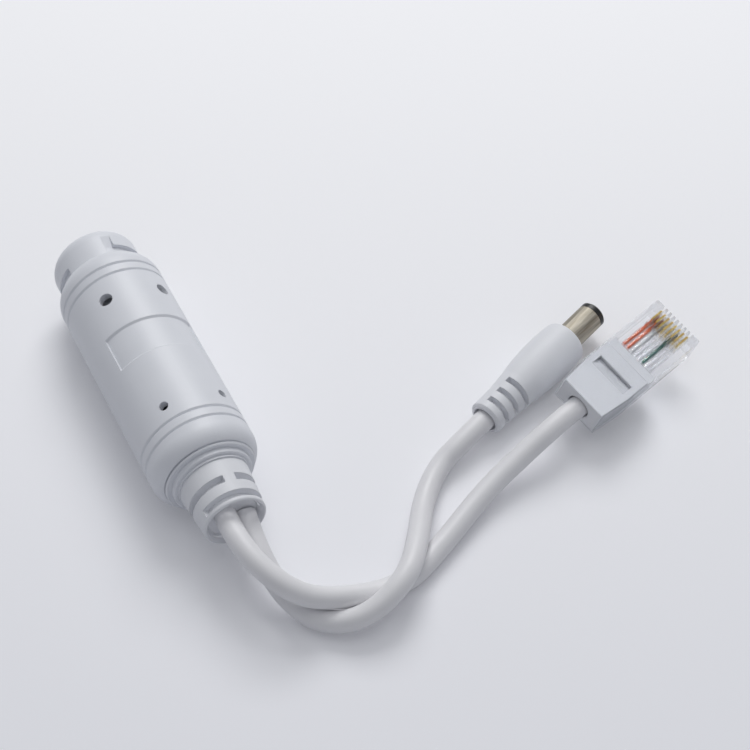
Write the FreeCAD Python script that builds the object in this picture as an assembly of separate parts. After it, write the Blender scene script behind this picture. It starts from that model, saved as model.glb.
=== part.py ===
import FreeCAD, Part
import math
import os

# A round in-line splitter: one network socket goes in, a network lead and a power lead come out.
# Its body lies along X with the socket at +X and the two leads at -X. Z is up, the floor is z = 0.
# Body pieces are drawn about the X axis with the label up, then turned by body_turn and lifted.
# All sizes are millimetres, all angles degrees.

# Body
shell_radius = 10.5
shell_wall = 1.6
shell_length = 37.6
band_width = 2.25
seam_depth = 0.33
spigot_length = 5.0
fit = 0.1
body_turn = 13.0

# Front cap and its bayonet collar
shoulder_length = 4.4
shoulder_drop = 1.3
shoulder_flat = 1.2
collar_step = 1.9
collar_length = 7.6
collar_wall = 1.25
rim_round_length = 2.2
rim_round_drop = 0.85
lug_count = 3
lug_slot_width = 1.8
lug_slot_depth = 0.8
lug_slot_sweep = 61.75
lug_entry_sweep = 12.75
lug_slot_start = 2.75
lug_slot_offset = 0.75
lug_ramp_from_rim = 2.4

# Rear cap
rear_flat = 2.0
rear_cap_length = 5.15
rear_cap_wall = 0.9
rear_end_wall = 1.8
rear_cap_lip = 0.1

# Gland ring and strain relief
gland_length = 2.3
gland_height = 1.1
gland_disc_bevel = 0.25
gland_disc_width = 0.35
gland_lip = 1.0
gland_round = 0.4
gland_front_groove = 0.35
gland_rear_groove = 0.5
gland_groove_depth = 0.7
relief_length = 9.5
relief_taper = 0.7
relief_step = 0.65
relief_end_round = 0.45
relief_neck_step = 0.9
relief_flange_clearance = 0.3
relief_flange_width = 1.2
relief_dish_depth = 1.6
relief_dish_clearance = 0.35
relief_slot_wall = 0.2
relief_slot_width = 1.5
relief_slot_first = 3.5
relief_slot_pitch = 3.65
relief_first_web = 20.0
relief_second_web = 42.0

# Label recess and the four round ports in the shell
label_length = 8.2
label_from_front = 13.1
label_sweep = 112.0
label_depth = 0.35
label_slope = 0.4
front_port_diameter = 2.7
front_port_from_front = 5.3
rear_port_diameter = 1.8
rear_port_from_rear = 3.5
port_spread = 34.0

# Network socket inside the collar
socket_setback = 1.0
socket_length = 17.3
socket_side_wall = 1.4
socket_top_wall = 3.95
socket_depth = 13.0
socket_key_width = 6.5
socket_key_depth = 1.8
socket_tab_width = 3.6
socket_tab_depth = 1.1
contact_count = 8
contact_pitch = 1.02
contact_strip = 0.3
contact_width = 0.46
contact_gap = 0.12
contact_reach = 10.4
contact_drop = 2.0
contact_return = 8.6
contact_slot_height = 0.6

# Circuit board and the parts on it
board_rear_gap = 0.4
board_thickness = 1.0
board_top = -2.4
board_clearance = 0.25
board_gap = 0.3
magnetics_size = (9.5, 11.6, 4.6)
core_length = 9.4
core_side_space = 4.0
core_clearance = 1.15
part_gap = 0.5
core_leg = 2.0
core_leg_radius = 1.1
coil_window = 0.25
coil_bulge = 0.7
input_capacitor_clearance = 0.5
input_capacitor_length = 9.0
output_capacitor_diameter = 4.0
output_capacitor_length = 5.2
bridge_size = (4.7, 3.9, 2.5)
bridge_gap = 1.8
chip_size = (4.9, 3.9, 1.6)
inductor_size = (5.0, 5.0, 3.4)
inductor_flange = 0.7
inductor_core_radius = 1.8
lead_diameter = 1.0
data_lead_count = 4
power_lead_count = 2
lead_pitch = 1.3
lead_overlap = 2.4
lead_rise = 1.2
lead_straight = 2.2

# Cables
cable_diameter = 4.2
cable_spacing = 4.5
cable_straight = 7.0
plug_run = 9.0
barrel_run = 6.8

# Barrel plug on the power cable
grip_length = 25.3
grip_front_radius = 4.6
grip_bulge_radius = 4.8
grip_waist_radius = 4.05
grip_neck_radius = 3.6
grip_end_radius = 3.5
grip_waist_from_rear = 10.0
grip_neck_from_rear = 5.8
grip_round = 0.9
grip_tilt = 2.0
grip_slot_width = 1.15
grip_slot_pitch = 2.8
grip_slot_count = 3
grip_slot_first = 1.9
grip_slot_floor = 2.2
grip_slot_sweep = 118.0
grip_slot_turn = -41.0
grip_bore_depth = 3.0
grip_mouth_gap = 0.45
grip_mouth_depth = 1.2
barrel_diameter = 5.5
barrel_wall = 0.35
barrel_neck_step = 0.35
barrel_face_gap = 0.15
barrel_length = 9.0
barrel_tip = 1.4
barrel_bore_diameter = 2.1
barrel_pin_wall = 0.4
barrel_clearance = 0.05
barrel_plug_rear = (-30.34, -53.68)
barrel_plug_heading = -67.2

# Modular plug on the network cable
plug_length = 27.7
plug_width = 11.68
plug_rear_width = 10.5
plug_taper_from_front = 21.0
plug_height = 7.0
plug_edge = 0.35
plug_slot_length = 5.6
plug_slot_depth = 2.3
plug_slot_width = 0.56
plug_blade_length = 3.1
plug_blade_width = 0.34
plug_blade_from_front = 0.9
plug_blade_sink = 0.35
plug_tine_width = 0.6
plug_tine_depth = 1.0
plug_tine_places = (0.05, 1.2, 2.4)
plug_side_wall = 0.35
plug_roof = 0.3
plug_floor = 0.4
plug_insert_from_front = 15.2
plug_step_from_front = 12.3
plug_step_drop = 1.5
plug_cable_height = 3.1
plug_insert_hole_depth = 3.0
plug_insert_hole_gap = 0.35
plug_crimp_from_front = 18.35
plug_crimp_length = 2.6
plug_crimp_width = 8.4
plug_crimp_depth = 0.9
plug_wire_diameter = 0.86
plug_wire_clearance = 0.06
plug_wire_pins = (1, 2, 3, 6)
orange_wire_count = 2
latch_root_from_front = 1.4
latch_length = 14.2
latch_drop = 4.0
latch_thickness = 0.9
latch_width = 6.2
latch_tail_width = 3.4
latch_shoulder = 8.2
modular_plug_rear = (-36.64, -69.45)
modular_plug_heading = -71.87
modular_plug_roll = 16.8

# Stations along the body, from the socket rim to the end of the strain relief
body_length = (collar_length + shoulder_length + band_width + shell_length + band_width
               + rear_cap_length + gland_length + relief_length)
rim_x = body_length / 2
shoulder_x = rim_x - collar_length
front_band_x = shoulder_x - shoulder_length
shell_front_x = front_band_x - band_width
shell_rear_x = shell_front_x - shell_length
rear_band_x = shell_rear_x - band_width
rear_cap_x = rear_band_x - rear_cap_length
gland_x = rear_cap_x - gland_length
relief_x = gland_x - relief_length
dish_x = relief_x + relief_dish_depth
relief_inner_x = rear_cap_x + rear_end_wall + relief_flange_width

# Sizes that follow from the fits
shell_bore = shell_radius - shell_wall
spigot_radius = shell_bore - fit
collar_radius = shell_radius - collar_step
collar_bore = collar_radius - collar_wall
shoulder_front_radius = shell_radius - shoulder_drop
rim_radius = collar_radius - rim_round_drop
socket_radius = collar_bore - fit
socket_width = 2 * (collar_bore - socket_side_wall)
socket_height = 2 * (collar_bore - socket_top_wall)
socket_face_x = rim_x - socket_setback
socket_back_x = socket_face_x - socket_length
cap_bore = spigot_radius - rear_cap_wall
cable_radius = cable_diameter / 2
relief_dish_radius = cable_spacing / 2 + cable_radius + relief_dish_clearance
relief_end_radius = (relief_dish_radius + spigot_radius) / 2 - relief_step
relief_radius = relief_end_radius + relief_taper
relief_neck_radius = relief_radius - relief_neck_step
relief_core_radius = relief_dish_radius + relief_slot_wall
relief_flange_radius = cap_bore - relief_flange_clearance
neck_hole = relief_neck_radius + fit
gland_end_radius = relief_radius + gland_lip
gland_radius = gland_end_radius + gland_height
rear_cap_end_radius = gland_radius + rear_cap_lip
board_bottom = board_top - board_thickness
board_width = 2 * (math.sqrt(shell_bore ** 2 - board_bottom ** 2) - board_clearance)
board_front_x = socket_back_x - board_gap
board_rear_x = rear_band_x + spigot_length + board_rear_gap
core_width = 2 * (shell_bore - core_side_space)
core_height = math.sqrt((shell_bore - core_clearance) ** 2 - (core_width / 2) ** 2) - board_top
core_size = (core_length, core_width, core_height)
input_capacitor_diameter = shell_bore + board_bottom - input_capacitor_clearance
magnetics_centre = board_front_x - 2 * part_gap - magnetics_size[0] / 2
core_centre = magnetics_centre - (magnetics_size[0] + core_size[0]) / 2 - part_gap
inductor_centre = core_centre - (core_size[0] + inductor_size[0]) / 2 - part_gap
bridge_centre = magnetics_centre
bridge_span = 2 * bridge_size[0] + bridge_gap
chip_centre = bridge_centre - (bridge_span + chip_size[0]) / 2 - 2 * part_gap
input_capacitor_centre = chip_centre - (chip_size[0] + input_capacitor_length) / 2 - 2 * part_gap
grip_front_x = grip_length - grip_round
grip_bulge_x = (grip_waist_from_rear + grip_front_x) / 2
barrel_plug_lift = (grip_bulge_radius * math.cos(math.radians(grip_tilt))
                    - grip_bulge_x * math.sin(math.radians(grip_tilt)))
barrel_base = grip_length - grip_bore_depth
barrel_radius = barrel_diameter / 2
barrel_neck = barrel_radius - barrel_neck_step
barrel_start_x = grip_length + barrel_face_gap
barrel_step_x = barrel_start_x + barrel_wall
latch_tip_z = -latch_drop
plug_step_front = plug_length - plug_step_from_front
plug_blade_front = plug_length - plug_blade_from_front
plug_wire_bore = plug_wire_diameter / 2 + plug_wire_clearance
plug_wire_z = plug_height - plug_slot_depth - plug_blade_sink - plug_wire_bore
modular_plug_lift = (latch_tail_width / 2 * math.sin(math.radians(modular_plug_roll))
                     + latch_drop * math.cos(math.radians(modular_plug_roll)))

# Where the cables leave the dish of the strain relief, turned with the body
cable_out_y = cable_spacing / 2 * math.cos(math.radians(body_turn))
cable_out_z = cable_spacing / 2 * math.sin(math.radians(body_turn))


def vec(x, y, z):
    return FreeCAD.Vector(x, y, z)


X_AXIS = vec(1, 0, 0)
Y_AXIS = vec(0, 1, 0)
Z_AXIS = vec(0, 0, 1)
CENTRE = vec(0, 0, 0)


def outline(items):
    """A closed face in the XZ plane: (x, z) is a corner, (x, z, mid_x, mid_z) ends an arc through mid."""
    edges = []
    last = vec(items[0][0], 0, items[0][1])
    first = last
    for item in items[1:] + [items[0][:2]]:
        point = vec(item[0], 0, item[1])
        if len(item) == 4:
            edges.append(Part.Arc(last, vec(item[2], 0, item[3]), point).toShape())
        elif point.distanceToPoint(last) > 1e-6:
            edges.append(Part.LineSegment(last, point).toShape())
        last = point
    if last.distanceToPoint(first) > 1e-6:
        edges.append(Part.LineSegment(last, first).toShape())
    return Part.Face(Part.Wire(edges))


def turned(items):
    """A solid of revolution about X from a profile of (x, radius) points."""
    return outline(items).revolve(CENTRE, X_AXIS, 360)


def shoulder(x_from, radius_from, x_to, radius_to):
    """The outline item for an arc that leaves parallel to the axis and ends at a smaller radius."""
    run = x_to - x_from
    fall = radius_from - radius_to
    bend = (run ** 2 + fall ** 2) / (2 * fall)
    half = math.asin(min(1, abs(run) / bend)) / 2
    middle_x = x_from + math.copysign(bend * math.sin(half), run)
    return x_to, radius_to, middle_x, radius_from - bend * (1 - math.cos(half))


def tube(x_from, x_to, outer, inner):
    """A plain ring or pipe on the X axis."""
    return turned([(x_from, inner), (x_from, outer), (x_to, outer), (x_to, inner)])


def rod(x_from, x_to, radius):
    return Part.makeCylinder(radius, x_to - x_from, vec(x_from, 0, 0), X_AXIS)


def block(x_from, x_to, y_from, y_to, z_from, z_to):
    return Part.makeBox(x_to - x_from, y_to - y_from, z_to - z_from, vec(x_from, y_from, z_from))


def centred_block(x_middle, y_middle, z_from, size):
    return block(x_middle - size[0] / 2, x_middle + size[0] / 2,
                 y_middle - size[1] / 2, y_middle + size[1] / 2, z_from, z_from + size[2])


def around(shape, angle):
    """Turn a shape about X, from the label towards +Y."""
    copy = shape.copy()
    copy.rotate(CENTRE, X_AXIS, -angle)
    return copy


def part_turned(items, angle_from, angle_to):
    """A profile turned between two angles only, measured from the label towards +Y."""
    face = outline(items)
    face.rotate(CENTRE, X_AXIS, -angle_to)
    return face.revolve(CENTRE, X_AXIS, angle_to - angle_from)


def sector(x_from, x_to, inner, outer, angle_from, angle_to):
    """A slice of a ring between two angles."""
    return part_turned([(x_from, inner), (x_from, outer), (x_to, outer), (x_to, inner)],
                       angle_from, angle_to)


def in_body(shape):
    """Turn a body piece to the angle at which the splitter lies, and lift it onto the floor."""
    copy = shape.copy()
    copy.rotate(CENTRE, X_AXIS, body_turn)
    copy.translate(vec(0, 0, shell_radius))
    return copy


def on_barrel_plug(shape):
    """Move a piece drawn along +X from the grip's rear end to where the barrel plug lies."""
    copy = shape.copy()
    copy.rotate(CENTRE, Y_AXIS, -grip_tilt)
    copy.rotate(CENTRE, Z_AXIS, barrel_plug_heading)
    copy.translate(vec(barrel_plug_rear[0], barrel_plug_rear[1], barrel_plug_lift))
    return copy


def on_modular_plug(shape):
    """Move a piece drawn from the plug's rear end, contacts up, to where the modular plug lies."""
    copy = shape.copy()
    copy.rotate(CENTRE, X_AXIS, modular_plug_roll)
    copy.rotate(CENTRE, Z_AXIS, modular_plug_heading)
    copy.translate(vec(modular_plug_rear[0], modular_plug_rear[1], modular_plug_lift))
    return copy


def seam_ring(x_from, x_to, outer, inner):
    """A pipe whose two outer edges are bevelled, so that it meets its neighbours in a V groove."""
    return turned([(x_from, inner), (x_from, outer - seam_depth), (x_from + seam_depth, outer),
                   (x_to - seam_depth, outer), (x_to, outer - seam_depth), (x_to, inner)])


def make_main_shell():
    shell = seam_ring(shell_rear_x, shell_front_x, shell_radius, shell_bore)
    label_front = shell_front_x - label_from_front
    label_rear = label_front - label_length
    floor = shell_radius - label_depth
    recess = part_turned([
        (label_rear, shell_radius + 1), (label_rear, shell_radius), (label_rear + label_slope, floor),
        (label_front - label_slope, floor), (label_front, shell_radius),
        (label_front, shell_radius + 1)], -label_sweep / 2, label_sweep / 2)
    shell = shell.cut(recess)
    ports = ((shell_front_x - front_port_from_front, front_port_diameter),
             (shell_rear_x + rear_port_from_rear, rear_port_diameter))
    for port_x, diameter in ports:
        for side in (-1, 1):
            hole = Part.makeCylinder(diameter / 2, shell_radius + 1, vec(port_x, 0, 0), Z_AXIS)
            shell = shell.cut(around(hole, side * port_spread))
    return shell


def bayonet_slot():
    """One L-shaped slot: a run round the collar, and an entry that ramps down into it from the front."""
    back = shoulder_x + lug_slot_offset
    front = back + lug_slot_width
    ramp_x = rim_x - lug_ramp_from_rim
    floor = collar_radius - lug_slot_depth
    outer = collar_radius + 1
    run = sector(back, front, floor, outer, lug_slot_start - lug_slot_sweep, lug_slot_start)
    entry = part_turned([(back, floor), (back, outer), (ramp_x, outer), (ramp_x, collar_radius),
                         (front, floor)], lug_slot_start - lug_entry_sweep, lug_slot_start)
    return run.fuse(entry)


def make_front_cap():
    spigot_x = front_band_x - spigot_length
    flat_x = front_band_x + shoulder_flat
    round_x = rim_x - rim_round_length
    cap = turned([
        (spigot_x, collar_bore), (spigot_x, spigot_radius), (front_band_x, spigot_radius),
        (front_band_x, shell_radius - seam_depth), (front_band_x + seam_depth, shell_radius),
        (flat_x, shell_radius),
        shoulder(flat_x, shell_radius, shoulder_x, shoulder_front_radius),
        (shoulder_x, collar_radius), (round_x, collar_radius),
        shoulder(round_x, collar_radius, rim_x, rim_radius), (rim_x, collar_bore)])
    for lug in range(lug_count):
        cap = cap.cut(around(bayonet_slot(), lug * 360 / lug_count))
    return cap


def make_rear_cap():
    dome_x = rear_band_x - rear_flat
    return turned([
        (rear_band_x + spigot_length, cap_bore), (rear_band_x + spigot_length, spigot_radius),
        (rear_band_x, spigot_radius), (rear_band_x, shell_radius - seam_depth),
        (rear_band_x - seam_depth, shell_radius), (dome_x, shell_radius),
        shoulder(dome_x, shell_radius, rear_cap_x, rear_cap_end_radius),
        (rear_cap_x, neck_hole), (rear_cap_x + rear_end_wall, neck_hole),
        (rear_cap_x + rear_end_wall, cap_bore)])


def make_gland_ring():
    """A thin disc against the rear cap and a narrower rounded ring behind it."""
    front = rear_cap_x - gland_front_groove
    disc = front - gland_disc_width
    rear = gland_x + gland_rear_groove
    return turned([
        (rear_cap_x, neck_hole), (rear_cap_x, gland_radius - gland_groove_depth),
        (front, gland_radius - gland_groove_depth), (front, gland_radius),
        (disc, gland_radius - gland_disc_bevel), (disc, gland_end_radius),
        (rear + gland_round, gland_end_radius),
        shoulder(rear + gland_round, gland_end_radius, rear, gland_end_radius - gland_round),
        (rear, gland_end_radius - gland_groove_depth),
        (gland_x, gland_end_radius - gland_groove_depth), (gland_x, neck_hole)])


def make_strain_relief():
    round_x = relief_x + relief_end_round
    corner = relief_end_round * (1 - math.sqrt(0.5))
    mouth = relief_end_radius - relief_end_round
    relief = turned([
        (relief_inner_x, 0), (relief_inner_x, relief_flange_radius),
        (relief_inner_x - relief_flange_width, relief_flange_radius),
        (relief_inner_x - relief_flange_width, relief_neck_radius),
        (gland_x, relief_neck_radius), (gland_x, relief_radius), (round_x, relief_end_radius),
        (relief_x, mouth, relief_x + corner, relief_end_radius - corner),
        (dish_x, relief_dish_radius), (dish_x, 0)])
    outer = relief_radius + 1
    first = gland_x - relief_slot_first
    second = first - relief_slot_pitch
    for middle, start_x, web in ((90, first, relief_first_web), (0, second, relief_second_web)):
        for side in (0, 180):
            half = 90 - web / 2
            slot = sector(start_x - relief_slot_width, start_x, relief_core_radius, outer,
                          middle + side - half, middle + side + half)
            relief = relief.cut(slot)
    return relief


def make_socket_housing():
    housing = rod(socket_back_x, socket_face_x, socket_radius)
    cavity_x = socket_face_x - socket_depth
    half_width, half_height = socket_width / 2, socket_height / 2
    cavity = block(cavity_x, rim_x, -half_width, half_width, -half_height, half_height)
    key_low = -half_height - socket_key_depth
    key = block(cavity_x, rim_x, -socket_key_width / 2, socket_key_width / 2, key_low, 0)
    tab = block(cavity_x, rim_x, -socket_tab_width / 2, socket_tab_width / 2,
                key_low - socket_tab_depth, 0)
    comb_half = contact_count * contact_pitch / 2
    comb = block(socket_back_x - 1, cavity_x + 1, -comb_half, comb_half,
                 half_height - contact_slot_height, half_height)
    for cutter in (cavity, key, tab, comb):
        housing = housing.cut(cutter)
    return housing


def socket_contact():
    """One hairpin contact as a strip outline: tail, ceiling run, nose bend and the sprung return."""
    top = socket_height / 2 - contact_gap
    low = top - contact_strip
    cavity_x = socket_face_x - socket_depth
    nose_x = cavity_x + contact_reach
    nose = 2 * contact_strip
    tail_x = socket_back_x - contact_gap - contact_strip
    tip_x = nose_x - contact_return
    tip_z = low - contact_drop
    face = outline([
        (tail_x, board_top), (tail_x, top), (nose_x, top),
        (nose_x, top - nose, nose_x + nose / 2, top - nose / 2),
        (tip_x, tip_z), (tip_x - contact_strip / 2, tip_z + contact_strip),
        (nose_x - nose, low), (tail_x + contact_strip, low), (tail_x + contact_strip, board_top)])
    return face.extrude(vec(0, contact_width, 0))


def make_socket_contacts():
    strips = []
    for index in range(contact_count):
        strip = socket_contact()
        middle = (index - (contact_count - 1) / 2) * contact_pitch
        strip.translate(vec(0, middle - contact_width / 2, 0))
        strips.append(strip)
    return Part.makeCompound(strips)


def make_circuit_board():
    return block(board_rear_x, board_front_x, -board_width / 2, board_width / 2,
                 board_bottom, board_top)


def make_data_magnetics():
    body = centred_block(magnetics_centre, 0, board_top, magnetics_size)
    top_edges = [edge for edge in body.Edges
                 if edge.BoundBox.ZMin > board_top + magnetics_size[2] - fit]
    return body.makeChamfer(seam_depth, top_edges)


def make_transformer_core():
    """Two facing E halves as one closed frame with a round centre leg."""
    frame = centred_block(core_centre, 0, board_top, core_size)
    window = (core_size[0] - 2 * core_leg, core_size[1] + 1, core_size[2] - 2 * core_leg)
    frame = frame.cut(centred_block(core_centre, 0, board_top + core_leg, window))
    foot = vec(core_centre, 0, board_top + core_leg)
    leg = Part.makeCylinder(core_leg_radius, window[2], foot, Z_AXIS)
    return frame.fuse(leg)


def make_transformer_coil():
    """The winding on its bobbin, which fills the window on both sides of the centre leg."""
    height = core_size[2] - 2 * core_leg - 2 * coil_window
    low = board_top + core_leg + coil_window
    half_window = core_size[0] / 2 - core_leg - coil_window
    coil = centred_block(core_centre, 0, low, (2 * half_window, core_size[1] + 2 * coil_bulge, height))
    side_edges = [edge for edge in coil.Edges if edge.BoundBox.ZLength > height / 2]
    coil = coil.makeFillet(half_window - fit, side_edges)
    hole = Part.makeCylinder(core_leg_radius + coil_window, height, vec(core_centre, 0, low), Z_AXIS)
    return coil.cut(hole)


def make_power_inductor():
    size = inductor_size
    flange = (size[0], size[1], inductor_flange)
    low = centred_block(inductor_centre, 0, board_top, flange)
    high = centred_block(inductor_centre, 0, board_top + size[2] - inductor_flange, flange)
    core = Part.makeCylinder(inductor_core_radius, size[2], vec(inductor_centre, 0, board_top), Z_AXIS)
    return low.fuse(core).fuse(high)


def lying_capacitor(diameter, length, x_middle, y_middle, z_from):
    """An electrolytic can that lies along X, with the crimp groove near its rear end."""
    radius = diameter / 2
    start, end = x_middle - length / 2, x_middle + length / 2
    groove = radius - seam_depth
    can = turned([(start, 0), (start, groove), (start + seam_depth, radius),
                  (start + 3 * seam_depth, radius), (start + 4 * seam_depth, groove),
                  (start + 5 * seam_depth, radius), (end - seam_depth, radius), (end, groove),
                  (end, 0)])
    can.translate(vec(0, y_middle, z_from + radius))
    return can


def make_input_capacitor():
    return lying_capacitor(input_capacitor_diameter, input_capacitor_length,
                           input_capacitor_centre, 0, board_bottom - input_capacitor_diameter)


def make_output_capacitors():
    spread = (inductor_size[1] + output_capacitor_diameter) / 2 + part_gap / 2
    cans = [lying_capacitor(output_capacitor_diameter, output_capacitor_length,
                            inductor_centre, side * spread, board_top)
            for side in (-1, 1)]
    return Part.makeCompound(cans)


def make_bridge_rectifiers():
    low = board_bottom - bridge_size[2]
    spread = (bridge_size[0] + bridge_gap) / 2
    return Part.makeCompound([centred_block(bridge_centre + side * spread, 0, low, bridge_size)
                              for side in (-1, 1)])


def make_controller_chip():
    return centred_block(chip_centre, 0, board_bottom - chip_size[2], chip_size)


def swept(points, diameter):
    """A round tube along straight runs joined by tangent arcs as large as the runs allow."""
    corners = [vec(*point) for point in points]
    edges = []
    radii = []
    last = corners[0]
    for before, corner, after in zip(corners, corners[1:], corners[2:]):
        arrive = (corner - before).normalize()
        leave = (after - corner).normalize()
        turn = arrive.getAngle(leave)
        trim = 0.45 * min(corner.distanceToPoint(before), corner.distanceToPoint(after))
        radius = trim / math.tan(turn / 2)
        radii.append(round(radius, 1))
        start = corner - arrive * trim
        end = corner + leave * trim
        inward = (leave - arrive).normalize()
        middle = corner + inward * (radius / math.cos(turn / 2) - radius)
        edges.append(Part.LineSegment(last, start).toShape())
        edges.append(Part.Arc(start, middle, end).toShape())
        last = end
    edges.append(Part.LineSegment(last, corners[-1]).toShape())
    path = Part.Wire(edges)
    circle = Part.makeCircle(diameter / 2, corners[0], corners[1] - corners[0])
    solid = path.makePipeShell([Part.Wire(circle)], True, True)
    section = math.pi * diameter ** 2 / 4
    return solid, radii, path.Length, solid.Volume / (section * path.Length)


def lead(y):
    """One insulated lead from the strain relief's inner face down onto the board."""
    rest_z = board_top + lead_diameter / 2
    points = [(relief_inner_x, y, lead_rise), (relief_inner_x + lead_straight, y, lead_rise),
              (board_rear_x - lead_straight / 2, y, rest_z), (board_rear_x + lead_overlap, y, rest_z)]
    return swept(points, lead_diameter)[0]


def make_data_leads():
    return Part.makeCompound([lead((index + 0.5) * lead_pitch) for index in range(data_lead_count)])


def make_power_leads():
    return Part.makeCompound([lead(-(index + 1.5) * lead_pitch) for index in range(power_lead_count)])


def make_grip():
    corner = grip_round * (1 - math.sqrt(0.5))
    grip = turned([
        (0, 0), (0, grip_end_radius - grip_round / 2), (grip_round / 2, grip_end_radius),
        (grip_neck_from_rear, grip_neck_radius), (grip_waist_from_rear, grip_waist_radius),
        (grip_front_x, grip_front_radius, grip_bulge_x, grip_bulge_radius),
        (grip_length, grip_front_radius - grip_round,
         grip_length - corner, grip_front_radius - corner),
        (grip_length, 0)])
    grip = grip.cut(rod(barrel_base, grip_length + 1, barrel_neck + barrel_clearance))
    grip = grip.cut(rod(-1, grip_mouth_depth, cable_radius + grip_mouth_gap))
    for row in range(grip_slot_count):
        start = grip_slot_first + row * grip_slot_pitch
        for side in (0, 180):
            middle = grip_slot_turn + side
            slot = sector(start, start + grip_slot_width, grip_slot_floor, grip_front_radius + 1,
                          middle - grip_slot_sweep / 2, middle + grip_slot_sweep / 2)
            grip = grip.cut(slot)
    return grip


def make_barrel_sleeve():
    """The plug's outer contact: its full size ahead of the grip, and a narrower neck inside it."""
    end = grip_length + barrel_length - barrel_tip
    inside = barrel_radius - barrel_wall
    neck_inside = barrel_neck - barrel_wall
    return turned([(barrel_base, neck_inside), (barrel_base, barrel_neck), (barrel_start_x, barrel_neck),
                   (barrel_start_x, barrel_radius), (end, barrel_radius), (end, inside),
                   (barrel_step_x, inside), (barrel_step_x, neck_inside)])


def make_barrel_insulator():
    inside = barrel_radius - barrel_wall - barrel_clearance
    neck_inside = inside - barrel_neck_step
    step_x = barrel_step_x + barrel_clearance
    bore = barrel_bore_diameter / 2 + barrel_pin_wall + barrel_clearance
    tip = grip_length + barrel_length
    shoulder_end = tip - barrel_tip
    return turned([(barrel_base, bore), (barrel_base, neck_inside), (step_x, neck_inside),
                   (step_x, inside), (shoulder_end, inside), (shoulder_end, barrel_radius),
                   (tip - seam_depth, barrel_radius), (tip, barrel_radius - seam_depth), (tip, bore)])


def make_barrel_pin():
    bore = barrel_bore_diameter / 2
    return tube(barrel_base, grip_length + barrel_length - seam_depth, bore + barrel_pin_wall, bore)


def latch():
    """The sprung lever under the plug, with its two shoulders and the narrow finger tab."""
    root_x = plug_length - latch_root_from_front
    tip_x = root_x - latch_length
    side = outline([(root_x, 0), (root_x - latch_thickness, -latch_thickness / 2),
                    (tip_x, latch_tip_z), (tip_x, latch_tip_z + latch_thickness),
                    (root_x - 3 * latch_thickness, latch_thickness / 4),
                    (root_x, latch_thickness / 4)])
    side.translate(vec(0, -latch_width / 2, 0))
    lever = side.extrude(vec(0, latch_width, 0))
    for sign in (-1, 1):
        near, far = sign * latch_tail_width / 2, sign * (latch_width / 2 + 1)
        lever = lever.cut(block(tip_x - 1, root_x - latch_shoulder, min(near, far),
                                max(near, far), latch_tip_z - 1, 1))
    return lever


def pin_y(pin):
    """Sideways place of a numbered contact, pin 1 on the left when the contacts face up."""
    return ((contact_count + 1) / 2 - pin) * contact_pitch


def crimp_wedge(lowered):
    """The pressed-in wedge of the top face, lowered where it is cut from what lies under the roof."""
    crimp_x = plug_length - plug_crimp_from_front
    floor = plug_height - lowered - plug_crimp_depth
    wedge = outline([(crimp_x, plug_height + 1), (crimp_x, floor),
                     (crimp_x - plug_crimp_length, plug_height - lowered),
                     (crimp_x - plug_crimp_length, plug_height + 1)])
    wedge.translate(vec(0, -plug_crimp_width / 2, 0))
    return wedge.extrude(vec(0, plug_crimp_width, 0))


def plug_taper(width_cut):
    """The two slivers that narrow a block of the plug's width, less a cut a side, to its rear end."""
    taper_x = plug_length - plug_taper_from_front
    front_half = plug_width / 2 - width_cut
    rear_half = plug_rear_width / 2 - width_cut
    slivers = []
    for side in (-1, 1):
        corners = [vec(-1, side * rear_half, -1), vec(0, side * rear_half, -1),
                   vec(taper_x, side * front_half, -1), vec(taper_x, side * plug_width, -1),
                   vec(-1, side * plug_width, -1)]
        face = Part.Face(Part.makePolygon(corners + corners[:1]))
        slivers.append(face.extrude(vec(0, 0, plug_height + 2)))
    return slivers


def plug_core(spare):
    """The insert's outside, grown by a spare clearance where it is used as a cutter."""
    half = plug_width / 2 - plug_side_wall + spare
    low = plug_floor - spare
    top = plug_height - plug_roof + spare
    rear = block(-spare, plug_length - plug_insert_from_front + spare, -half, half, low, top)
    rear = rear.cut(crimp_wedge(plug_roof - spare))
    step = block(0, plug_step_front + spare, -half, half, low, top - plug_step_drop)
    core = rear.fuse(step)
    for sliver in plug_taper(plug_side_wall - spare):
        core = core.cut(sliver)
    return core


def make_plug_housing():
    half = plug_width / 2
    body = block(0, plug_length, -half, half, 0, plug_height)
    long_edges = [edge for edge in body.Edges
                  if edge.BoundBox.XLength > plug_length / 2 or edge.BoundBox.XMin > plug_length / 2]
    body = body.makeFillet(plug_edge, long_edges)
    for sliver in plug_taper(0):
        body = body.cut(sliver)
    body = body.cut(crimp_wedge(0))
    body = body.cut(plug_core(barrel_clearance))
    slot_x = plug_length - plug_slot_length
    slot_floor = plug_height - plug_slot_depth
    for pin in range(1, contact_count + 1):
        low, high = pin_y(pin) - plug_slot_width / 2, pin_y(pin) + plug_slot_width / 2
        body = body.cut(block(slot_x, plug_length + 1, low, high, slot_floor, plug_height + 1))
        body = body.cut(block(slot_x, plug_blade_front + barrel_clearance, low, high,
                              plug_wire_z - plug_tine_depth, slot_floor))
        body = body.cut(Part.makeCylinder(plug_wire_bore, plug_blade_front - plug_step_front + fit,
                                          vec(plug_step_front, pin_y(pin), plug_wire_z), X_AXIS))
    return body.fuse(latch())


def make_plug_insert():
    hole = Part.makeCylinder(cable_radius + plug_insert_hole_gap, plug_insert_hole_depth + 1,
                             vec(-1, 0, plug_cable_height), X_AXIS)
    return plug_core(0).cut(hole)


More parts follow.
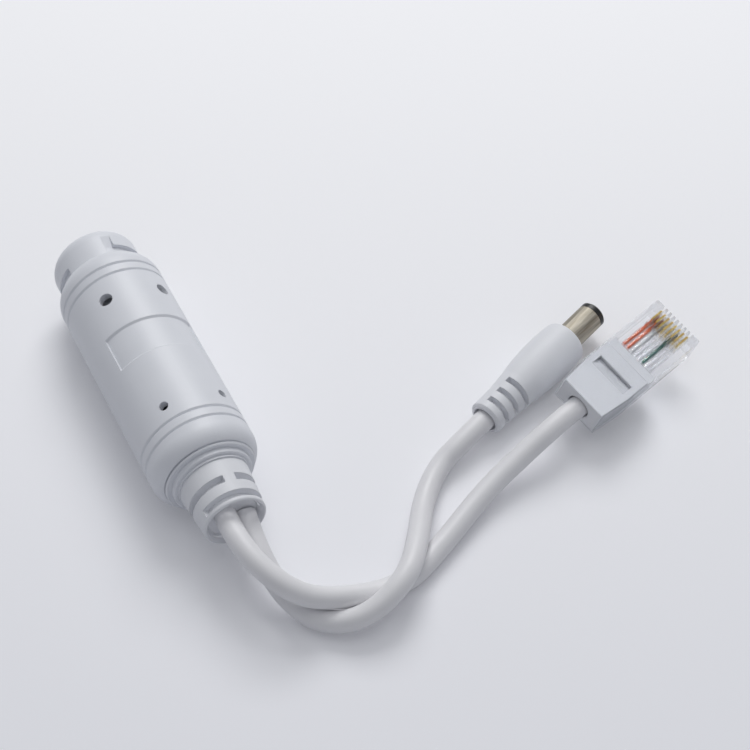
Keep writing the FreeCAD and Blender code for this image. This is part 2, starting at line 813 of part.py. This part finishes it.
def plug_blade(pin, spare):
    """One contact blade with its tines, grown by a spare clearance where it is used as a cutter."""
    low = plug_height - plug_slot_depth + barrel_clearance
    high = plug_height - plug_blade_sink
    rear = plug_blade_front - plug_blade_length
    face = outline([(rear, low), (rear, high), (plug_blade_front - seam_depth, high),
                    (plug_blade_front, high - seam_depth), (plug_blade_front, low)])
    blade = face.extrude(vec(0, plug_blade_width, 0))
    point = plug_wire_z - plug_tine_depth + barrel_clearance
    for place in plug_tine_places:
        start = rear + place - spare
        end = rear + place + plug_tine_width + spare
        tine = outline([(start, low + fit), (start, point + plug_tine_width),
                        ((start + end) / 2, point - spare), (end, point + plug_tine_width),
                        (end, low + fit)])
        tine = tine.extrude(vec(0, plug_blade_width + 2 * spare, 0))
        tine.translate(vec(0, -spare, 0))
        blade = blade.fuse(tine)
    blade.translate(vec(0, pin_y(pin) - plug_blade_width / 2, 0))
    return blade


def make_plug_blades():
    return Part.makeCompound([plug_blade(pin, 0) for pin in range(1, contact_count + 1)])


def make_plug_wires(pins):
    """Conductors that run from the insert to under their blades, whose tines have gone through them."""
    wires = []
    for pin in pins:
        wire = Part.makeCylinder(plug_wire_diameter / 2, plug_blade_front - plug_step_front,
                                 vec(plug_step_front, pin_y(pin), plug_wire_z), X_AXIS)
        wires.append(wire.cut(plug_blade(pin, barrel_clearance)))
    return Part.makeCompound(wires) if len(wires) > 1 else wires[0]


def plug_axis_point(back):
    """A point on the network cable's line, so far behind its end inside the plug's insert."""
    heading = math.radians(modular_plug_heading)
    roll = math.radians(modular_plug_roll)
    along = plug_insert_hole_depth - back
    side = -plug_cable_height * math.sin(roll)
    return (modular_plug_rear[0] + along * math.cos(heading) - side * math.sin(heading),
            modular_plug_rear[1] + along * math.sin(heading) + side * math.cos(heading),
            modular_plug_lift + plug_cable_height * math.cos(roll))


def barrel_axis_point(back):
    """A point on the power cable's line into the barrel plug, so far behind the grip."""
    heading = math.radians(barrel_plug_heading)
    tilt = math.radians(grip_tilt)
    return (barrel_plug_rear[0] - back * math.cos(tilt) * math.cos(heading),
            barrel_plug_rear[1] - back * math.cos(tilt) * math.sin(heading),
            barrel_plug_lift - back * math.sin(tilt))


# The network cable leaves the relief above the power cable, crosses it, lies down and rises to its plug.
network_route = [
    (dish_x, cable_out_y, shell_radius + cable_out_z),
    (dish_x - cable_straight, cable_out_y, shell_radius + cable_out_z),
    (-49.8, 0.1, 10.8), (-56.4, -9.4, 6.6), (-55.9, -22.5, cable_radius), (-50.9, -35, cable_radius),
    (-45.1, -45.6, cable_radius), (-42.1, -54.6, 3.2),
    plug_axis_point(plug_run), plug_axis_point(0)]

# The power cable drops to the floor under the network cable, humps over it and runs to the barrel plug.
power_route = [
    (dish_x, -cable_out_y, shell_radius - cable_out_z),
    (dish_x - cable_straight, -cable_out_y, shell_radius - cable_out_z),
    (-48.6, -2, 4.8), (-57, -4.4, 2.4), (-62.2, -11.8, 3.8), (-61.4, -20.8, 7),
    (-54.5, -27.2, 8.4), (-46.3, -31.7, 4.6), (-38.7, -37.2, cable_radius),
    barrel_axis_point(barrel_run), barrel_axis_point(-grip_mouth_depth)]


def make_cable(name, route):
    cable, radii, length, fill = swept(route, cable_diameter)
    print(name, "length", round(length, 1), "radii", radii, "volume share", round(fill, 4))
    return cable


def main():
    os.makedirs("parts", exist_ok=True)
    orange_pins = plug_wire_pins[:orange_wire_count]
    body_pieces = {
        "main_shell": make_main_shell(),
        "front_cap": make_front_cap(),
        "front_band": seam_ring(shell_front_x, front_band_x, shell_radius, spigot_radius + fit),
        "rear_band": seam_ring(rear_band_x, shell_rear_x, shell_radius, spigot_radius + fit),
        "rear_cap": make_rear_cap(),
        "gland_ring": make_gland_ring(),
        "strain_relief": make_strain_relief(),
        "socket_housing": make_socket_housing(),
        "socket_contacts": make_socket_contacts(),
        "circuit_board": make_circuit_board(),
        "data_magnetics": make_data_magnetics(),
        "transformer_core": make_transformer_core(),
        "transformer_coil": make_transformer_coil(),
        "power_inductor": make_power_inductor(),
        "input_capacitor": make_input_capacitor(),
        "output_capacitors": make_output_capacitors(),
        "bridge_rectifiers": make_bridge_rectifiers(),
        "controller_chip": make_controller_chip(),
        "data_leads": make_data_leads(),
        "power_leads": make_power_leads(),
    }
    barrel_pieces = {
        "barrel_plug_grip": make_grip(),
        "barrel_sleeve": make_barrel_sleeve(),
        "barrel_insulator": make_barrel_insulator(),
        "barrel_pin": make_barrel_pin(),
    }
    modular_pieces = {
        "modular_plug_housing": make_plug_housing(),
        "modular_plug_insert": make_plug_insert(),
        "modular_plug_blades": make_plug_blades(),
        "orange_wires": make_plug_wires(orange_pins),
        "white_wire": make_plug_wires(plug_wire_pins[orange_wire_count:-1]),
        "green_wire": make_plug_wires(plug_wire_pins[-1:]),
    }
    shapes = {name: in_body(shape) for name, shape in body_pieces.items()}
    shapes.update({name: on_barrel_plug(shape) for name, shape in barrel_pieces.items()})
    shapes.update({name: on_modular_plug(shape) for name, shape in modular_pieces.items()})
    shapes["network_cable"] = make_cable("network_cable", network_route)
    shapes["power_cable"] = make_cable("power_cable", power_route)
    for name, shape in shapes.items():
        shape.exportStep("parts/" + name + ".step")


main()
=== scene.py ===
import math

import bpy
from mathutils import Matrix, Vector


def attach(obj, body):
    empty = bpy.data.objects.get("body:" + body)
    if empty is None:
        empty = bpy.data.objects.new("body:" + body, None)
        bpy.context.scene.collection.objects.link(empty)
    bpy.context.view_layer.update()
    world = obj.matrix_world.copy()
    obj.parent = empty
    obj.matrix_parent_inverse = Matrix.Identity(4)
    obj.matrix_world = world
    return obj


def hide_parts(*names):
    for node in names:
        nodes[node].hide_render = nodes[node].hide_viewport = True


# A white in-line network splitter on a pale floor. All lengths are metres, in the frame of the model.

MM = 0.001
LEAD_DIAMETER = 4.2 * MM

# The camera's place and the point that it looks at, with a long lens as in the photograph.
CAMERA_PLACE = (-0.23339, 0.06973, 0.30320)
CAMERA_TARGET = (-0.00812, -0.04130, 0.0)
CAMERA_LENS = 96.0
SENSOR_WIDTH = 36.0
CAMERA_RANGE = (0.01, 10.0)

# The floor's colour fades along the camera's heading, given in degrees from +X towards -Y. This fade is
# painted light: the floor is painted lighter towards the back, where the light comes from, and darker
# towards the front.
VIEW_HEADING = 26.2
FLOOR_REACH = 1.5
FLOOR_FADE = 0.14
# The near colour is painted shade and the far colour is painted light; the floor's glow takes the far
# colour.
FLOOR_NEAR_PAINTED_SHADE = (0.83, 0.835, 0.875)
FLOOR_FAR_PAINTED_LIGHT = (0.92, 0.92, 0.935)
FLOOR_GLOW = 0.09

# The sky's colour and strength, and each lamp's place, the point it aims at, its width and its power.
SKY_COLOR = (0.90, 0.93, 1.0)
SKY_STRENGTH = 0.30
LAMPS = {
    "back_softbox": ((0.45, -0.30, 0.60), (-0.01, -0.03, 0.0), 0.42, 3.0),
    "top_softbox": ((0.05, -0.10, 0.90), (0.0, -0.03, 0.0), 0.8, 1.45)}

# The barrel plug points this many degrees from +X towards -Y.
BARREL_HEADING = 67.2

# Moulded edges are rounded by this much where they catch the light.
EDGE_RADIUS = 0.18 * MM

# How many patches and grains of a texture fit in a metre, and how deep the moulded grain is.
PATCH_SCALE = 90.0
GRAIN_SCALE = 2600.0
GRAIN_DEPTH = 0.12 * MM
POLISH_SCALE = 500.0
HAZE_SCALE = 260.0
STREAK_SCALE = 1400.0
STREAK_STRETCH = 0.06

# The clear plastic lets this share of a ray straight through.
CLEAR_SHARE = 0.55

# Control points of the two leads, in millimetres, close to the part's and matched to the photograph.
NETWORK_ROUTE = [
    (-33.93, 1.4, 11.6), (-41.9, 2.1, 12.5), (-51.5, -1.8, 9.9), (-55.0, -7.9, 6.1),
    (-56.6, -22.9, 2.1), (-50.7, -34.8, 2.1), (-44.6, -46.0, 3.0), (-41.5, -55.6, 4.9),
    (-39.36, -64.03, 7.29), (-36.56, -72.58, 7.29)]
POWER_ROUTE = [
    (-33.93, -2.4, 9.7), (-40.3, -1.5, 8.4), (-49.3, -2.6, 3.8), (-56.7, -6.4, 2.1),
    (-60.8, -13.8, 4.4), (-58.1, -23.2, 7.7), (-50.4, -29.2, 5.6), (-41.2, -34.9, 2.3),
    (-35.0, -41.3, 2.1), (-32.97, -47.42, 3.96), (-29.88, -54.79, 4.24)]

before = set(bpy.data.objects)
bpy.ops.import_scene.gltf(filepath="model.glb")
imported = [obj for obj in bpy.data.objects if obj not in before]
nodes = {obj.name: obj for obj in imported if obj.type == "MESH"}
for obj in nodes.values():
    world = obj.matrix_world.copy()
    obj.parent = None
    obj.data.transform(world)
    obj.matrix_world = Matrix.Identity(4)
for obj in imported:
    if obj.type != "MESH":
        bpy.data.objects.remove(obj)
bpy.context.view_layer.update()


def make_camera():
    data = bpy.data.cameras.new("camera")
    data.lens = CAMERA_LENS
    data.sensor_width = SENSOR_WIDTH
    data.clip_start = CAMERA_RANGE[0]
    data.clip_end = CAMERA_RANGE[1]
    camera = bpy.data.objects.new("camera", data)
    bpy.context.scene.collection.objects.link(camera)
    camera.location = CAMERA_PLACE
    sight = Vector(CAMERA_TARGET) - Vector(CAMERA_PLACE)
    camera.rotation_euler = sight.to_track_quat("-Z", "Y").to_euler()
    bpy.context.scene.camera = camera


def make_lead(name, route):
    curve = bpy.data.curves.new(name, "CURVE")
    curve.dimensions = "3D"
    spline = curve.splines.new("NURBS")
    spline.points.add(len(route) - 1)
    for point, place in zip(spline.points, route):
        point.co = (place[0] * MM, place[1] * MM, place[2] * MM, 1.0)
    spline.order_u = 3
    spline.use_endpoint_u = True
    spline.resolution_u = 16
    curve.bevel_depth = LEAD_DIAMETER / 2
    curve.bevel_resolution = 7
    curve.use_fill_caps = True
    lead = bpy.data.objects.new(name, curve)
    bpy.context.scene.collection.objects.link(lead)
    return lead


def new_material(name):
    material = bpy.data.materials.new(name)
    material.use_nodes = True
    tree = material.node_tree
    tree.nodes.clear()
    output = tree.nodes.new("ShaderNodeOutputMaterial")
    shader = tree.nodes.new("ShaderNodeBsdfPrincipled")
    tree.links.new(shader.outputs["BSDF"], output.inputs["Surface"])
    return material, tree, shader


def noise(tree, scale, detail=4.0, roughness=0.55):
    coordinates = tree.nodes.new("ShaderNodeTexCoord")
    texture = tree.nodes.new("ShaderNodeTexNoise")
    texture.inputs["Scale"].default_value = scale
    texture.inputs["Detail"].default_value = detail
    texture.inputs["Roughness"].default_value = roughness
    tree.links.new(coordinates.outputs["Object"], texture.inputs["Vector"])
    return texture


def ramp(tree, source, low, high, start=0.3, end=0.7):
    node = tree.nodes.new("ShaderNodeValToRGB")
    node.color_ramp.elements[0].position = start
    node.color_ramp.elements[1].position = end
    node.color_ramp.elements[0].color = (*low, 1.0) if isinstance(low, tuple) else (low, low, low, 1.0)
    node.color_ramp.elements[1].color = (*high, 1.0) if isinstance(high, tuple) else (high, high, high, 1.0)
    tree.links.new(source, node.inputs["Fac"])
    return node


def bump(tree, shader, height, strength, distance, edge=0.0):
    """Fine relief from a height. Where an edge radius is given, edges are softened over it."""
    node = tree.nodes.new("ShaderNodeBump")
    if edge:
        soft = tree.nodes.new("ShaderNodeBevel")
        soft.samples = 4
        soft.inputs["Radius"].default_value = edge
        tree.links.new(soft.outputs["Normal"], node.inputs["Normal"])
    node.inputs["Strength"].default_value = strength
    node.inputs["Distance"].default_value = distance
    tree.links.new(height, node.inputs["Height"])
    tree.links.new(node.outputs["Normal"], shader.inputs["Normal"])


def plastic(name, color, shade, roughness):
    """Moulded plastic: a slightly uneven colour, uneven gloss and a fine spark-eroded grain."""
    material, tree, shader = new_material(name)
    patches = noise(tree, PATCH_SCALE, 3.0)
    tint = ramp(tree, patches.outputs["Fac"], shade, color)
    tree.links.new(tint.outputs["Color"], shader.inputs["Base Color"])
    gloss = ramp(tree, patches.outputs["Fac"], roughness - 0.04, roughness + 0.05)
    tree.links.new(gloss.outputs["Color"], shader.inputs["Roughness"])
    fine = noise(tree, GRAIN_SCALE, 2.0)
    bump(tree, shader, fine.outputs["Fac"], 0.06, GRAIN_DEPTH, EDGE_RADIUS)
    return material


def nickel_plate():
    """Dull nickel with long streaks that run along the barrel."""
    material, tree, shader = new_material("nickel")
    coordinates = tree.nodes.new("ShaderNodeTexCoord")
    turn = tree.nodes.new("ShaderNodeMapping")
    turn.inputs["Rotation"].default_value = (0.0, 0.0, math.radians(BARREL_HEADING))
    tree.links.new(coordinates.outputs["Object"], turn.inputs["Vector"])
    stretch = tree.nodes.new("ShaderNodeMapping")
    stretch.inputs["Scale"].default_value = (STREAK_STRETCH, 1.0, 1.0)
    tree.links.new(turn.outputs["Vector"], stretch.inputs["Vector"])
    streaks = tree.nodes.new("ShaderNodeTexNoise")
    streaks.inputs["Scale"].default_value = STREAK_SCALE
    streaks.inputs["Detail"].default_value = 3.0
    tree.links.new(stretch.outputs["Vector"], streaks.inputs["Vector"])
    tint = ramp(tree, streaks.outputs["Fac"], (0.30, 0.272, 0.22), (0.62, 0.58, 0.50), 0.35, 0.62)
    tree.links.new(tint.outputs["Color"], shader.inputs["Base Color"])
    gloss = ramp(tree, streaks.outputs["Fac"], 0.54, 0.68)
    tree.links.new(gloss.outputs["Color"], shader.inputs["Roughness"])
    bump(tree, shader, streaks.outputs["Fac"], 0.08, 0.04 * MM)
    shader.inputs["Metallic"].default_value = 1.0
    return material


def metal(name, color, shade, roughness):
    """Plated metal with a faintly uneven colour and polish."""
    material, tree, shader = new_material(name)
    patches = noise(tree, POLISH_SCALE, 5.0)
    tint = ramp(tree, patches.outputs["Fac"], shade, color)
    tree.links.new(tint.outputs["Color"], shader.inputs["Base Color"])
    gloss = ramp(tree, patches.outputs["Fac"], roughness, roughness + 0.1)
    tree.links.new(gloss.outputs["Color"], shader.inputs["Roughness"])
    bump(tree, shader, patches.outputs["Fac"], 0.05, 0.05 * MM)
    shader.inputs["Metallic"].default_value = 1.0
    return material


def clear_plastic():
    """Polished clear polycarbonate with faint mould haze. Light passes it, so what it holds is lit."""
    material, tree, shader = new_material("clear_plastic")
    haze = noise(tree, HAZE_SCALE, 3.0)
    gloss = ramp(tree, haze.outputs["Fac"], 0.0, 0.03)
    tree.links.new(gloss.outputs["Color"], shader.inputs["Roughness"])
    shader.inputs["Base Color"].default_value = (0.97, 0.975, 0.985, 1.0)
    shader.inputs["Transmission Weight"].default_value = 1.0
    shader.inputs["IOR"].default_value = 1.5
    bump(tree, shader, haze.outputs["Fac"], 0.03, 0.1 * MM)
    passing = tree.nodes.new("ShaderNodeBsdfTransparent")
    passing.inputs["Color"].default_value = (0.96, 0.965, 0.975, 1.0)
    path = tree.nodes.new("ShaderNodeLightPath")
    mix = tree.nodes.new("ShaderNodeMixShader")
    share = tree.nodes.new("ShaderNodeMath")
    share.operation = "MAXIMUM"
    share.inputs[1].default_value = CLEAR_SHARE
    tree.links.new(path.outputs["Is Shadow Ray"], share.inputs[0])
    tree.links.new(share.outputs["Value"], mix.inputs["Fac"])
    tree.links.new(shader.outputs["BSDF"], mix.inputs[1])
    tree.links.new(passing.outputs["BSDF"], mix.inputs[2])
    output = next(node for node in tree.nodes if node.type == "OUTPUT_MATERIAL")
    tree.links.new(mix.outputs["Shader"], output.inputs["Surface"])
    return material


def dress(material, *names):
    for name in names:
        data = nodes[name].data
        data.materials.clear()
        data.materials.append(material)
        for polygon in data.polygons:
            polygon.use_smooth = True


def floor_material():
    """Pale bluish paper, painted lighter towards the back and darker towards the front as painted light and
    shade, and paler where it is seen directly.
    """
    material, tree, shader = new_material("floor")
    coordinates = tree.nodes.new("ShaderNodeTexCoord")
    turn = tree.nodes.new("ShaderNodeMapping")
    turn.inputs["Rotation"].default_value = (0.0, 0.0, math.radians(VIEW_HEADING))
    tree.links.new(coordinates.outputs["Object"], turn.inputs["Vector"])
    split = tree.nodes.new("ShaderNodeSeparateXYZ")
    tree.links.new(turn.outputs["Vector"], split.inputs["Vector"])
    place = tree.nodes.new("ShaderNodeMapRange")
    place.inputs["From Min"].default_value = -FLOOR_FADE
    place.inputs["From Max"].default_value = FLOOR_FADE
    tree.links.new(split.outputs["X"], place.inputs["Value"])
    # Painted light and shade: darker paper in front, lighter paper towards the back.
    tint = ramp(tree, place.outputs["Result"], FLOOR_NEAR_PAINTED_SHADE, FLOOR_FAR_PAINTED_LIGHT, 0.0, 1.0)
    tint.color_ramp.interpolation = "EASE"
    tree.links.new(tint.outputs["Color"], shader.inputs["Base Color"])
    shader.inputs["Roughness"].default_value = 0.85
    shader.inputs["Specular IOR Level"].default_value = 0.2
    glow = tree.nodes.new("ShaderNodeEmission")
    glow.inputs["Color"].default_value = (*FLOOR_FAR_PAINTED_LIGHT, 1.0)
    path = tree.nodes.new("ShaderNodeLightPath")
    seen = tree.nodes.new("ShaderNodeMath")
    seen.operation = "MAXIMUM"
    tree.links.new(path.outputs["Is Camera Ray"], seen.inputs[0])
    tree.links.new(path.outputs["Is Transmission Ray"], seen.inputs[1])
    strength = tree.nodes.new("ShaderNodeMath")
    strength.operation = "MULTIPLY"
    strength.inputs[1].default_value = FLOOR_GLOW
    tree.links.new(seen.outputs["Value"], strength.inputs[0])
    tree.links.new(strength.outputs["Value"], glow.inputs["Strength"])
    both = tree.nodes.new("ShaderNodeAddShader")
    tree.links.new(shader.outputs["BSDF"], both.inputs[0])
    tree.links.new(glow.outputs["Emission"], both.inputs[1])
    output = next(node for node in tree.nodes if node.type == "OUTPUT_MATERIAL")
    tree.links.new(both.outputs["Shader"], output.inputs["Surface"])
    return material


def make_stage():
    mesh = bpy.data.meshes.new("floor")
    corners = [(x * FLOOR_REACH, y * FLOOR_REACH, 0) for x, y in ((-1, -1), (1, -1), (1, 1), (-1, 1))]
    mesh.from_pydata(corners, [], [(0, 1, 2, 3)])
    floor = bpy.data.objects.new("floor", mesh)
    bpy.context.scene.collection.objects.link(floor)
    mesh.materials.append(floor_material())


def make_lamp(name, place, target, width, power):
    data = bpy.data.lights.new(name, "AREA")
    data.shape = "RECTANGLE"
    data.size = width
    data.size_y = width
    data.energy = power
    lamp = bpy.data.objects.new(name, data)
    bpy.context.scene.collection.objects.link(lamp)
    lamp.location = place
    sight = Vector(target) - Vector(place)
    lamp.rotation_euler = sight.to_track_quat("-Z", "Y").to_euler()


def make_light():
    """A broad lamp behind the object, a weaker one above it and a pale sky."""
    world = bpy.data.worlds.new("world")
    world.use_nodes = True
    background = world.node_tree.nodes["Background"]
    background.inputs["Color"].default_value = (*SKY_COLOR, 1.0)
    background.inputs["Strength"].default_value = SKY_STRENGTH
    bpy.context.scene.world = world
    for name, (place, target, width, power) in LAMPS.items():
        make_lamp(name, place, target, width, power)


make_camera()
make_stage()
make_light()

network_lead = make_lead("network_lead", NETWORK_ROUTE)
power_lead = make_lead("power_lead", POWER_ROUTE)

white_shell = plastic("white_shell", (0.775, 0.79, 0.83), (0.745, 0.76, 0.80), 0.42)
white_relief = plastic("white_relief", (0.79, 0.80, 0.83), (0.765, 0.775, 0.805), 0.48)
white_jacket = plastic("white_jacket", (0.84, 0.835, 0.85), (0.80, 0.795, 0.81), 0.42)
milky = plastic("milky", (0.80, 0.81, 0.835), (0.78, 0.79, 0.815), 0.4)
black = plastic("black", (0.014, 0.014, 0.015), (0.010, 0.010, 0.011), 0.35)
board = plastic("board", (0.03, 0.19, 0.07), (0.02, 0.15, 0.055), 0.35)
ferrite = plastic("ferrite", (0.05, 0.05, 0.055), (0.035, 0.035, 0.04), 0.6)
tape = plastic("tape", (0.75, 0.55, 0.06), (0.68, 0.49, 0.05), 0.25)
orange = plastic("orange", (0.76, 0.12, 0.012), (0.62, 0.085, 0.008), 0.3)
green = plastic("green", (0.005, 0.13, 0.10), (0.004, 0.09, 0.07), 0.3)
white_wire = plastic("white_wire", (0.78, 0.78, 0.78), (0.72, 0.72, 0.72), 0.3)
nickel = nickel_plate()
gold = metal("gold", (0.95, 0.74, 0.30), (0.80, 0.56, 0.16), 0.2)
aluminium = metal("aluminium", (0.70, 0.70, 0.72), (0.64, 0.64, 0.66), 0.3)

dress(white_shell, "main_shell", "front_cap", "front_band", "rear_band", "rear_cap", "gland_ring",
      "socket_housing")
dress(white_relief, "strain_relief", "barrel_plug_grip")
dress(milky, "modular_plug_insert")
dress(black, "barrel_insulator", "data_magnetics", "bridge_rectifiers", "controller_chip")
dress(board, "circuit_board")
dress(ferrite, "transformer_core", "power_inductor")
dress(tape, "transformer_coil")
dress(aluminium, "input_capacitor", "output_capacitors")
dress(orange, "orange_wires")
dress(green, "green_wire", "data_leads")
dress(white_wire, "white_wire", "power_leads")
dress(nickel, "barrel_sleeve", "barrel_pin")
dress(gold, "socket_contacts", "modular_plug_blades")
dress(clear_plastic(), "modular_plug_housing")

for lead, node in ((network_lead, "network_cable"), (power_lead, "power_cable")):
    lead.data.materials.append(white_jacket)
    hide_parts(node)
    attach(lead, "root")

bpy.context.scene.view_settings.view_transform = "Standard"
